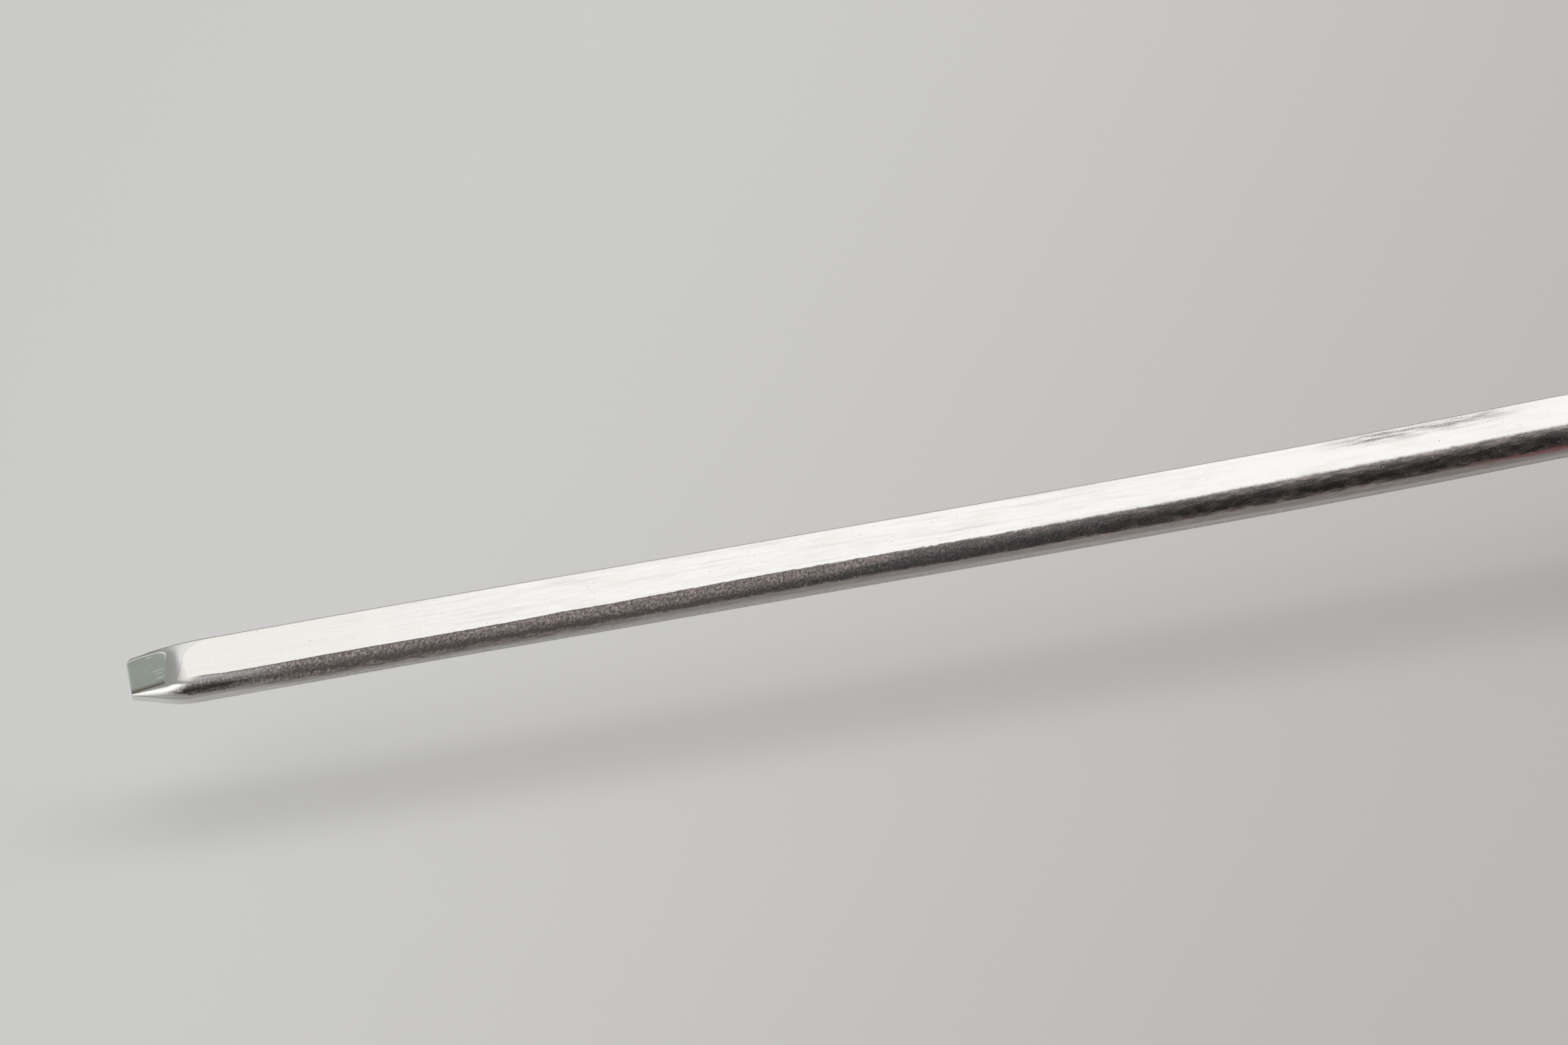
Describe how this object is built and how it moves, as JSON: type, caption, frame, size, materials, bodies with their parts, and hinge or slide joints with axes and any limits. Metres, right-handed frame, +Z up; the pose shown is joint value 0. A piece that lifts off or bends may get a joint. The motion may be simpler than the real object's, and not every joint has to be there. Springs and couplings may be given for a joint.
{
  "type": "carving v-chisel",
  "caption": "Slim hand chisel with a V-section steel blade, bevelled at the tip, set in a brass ferrule and a tapered octagonal hardwood handle, for carving fine V grooves in wood.",
  "frame": {"origin": "centre of the tool's plan box, on the surface that it lies on", "axes": "+X from the cutting tip towards the butt, +Y the way the groove opens, +Z up from the handle flat that it lies on"},
  "size_m": [0.205, 0.0198, 0.0198],
  "materials": {
    "steel": "satin",
    "brass": "satin",
    "wood": "satin",
    "adhesive": "satin"
  },
  "bodies": {
    "root": {"blade": "steel", "ferrule": "brass", "handle": "wood", "tang_adhesive": "adhesive"}
  },
  "joints": []
}
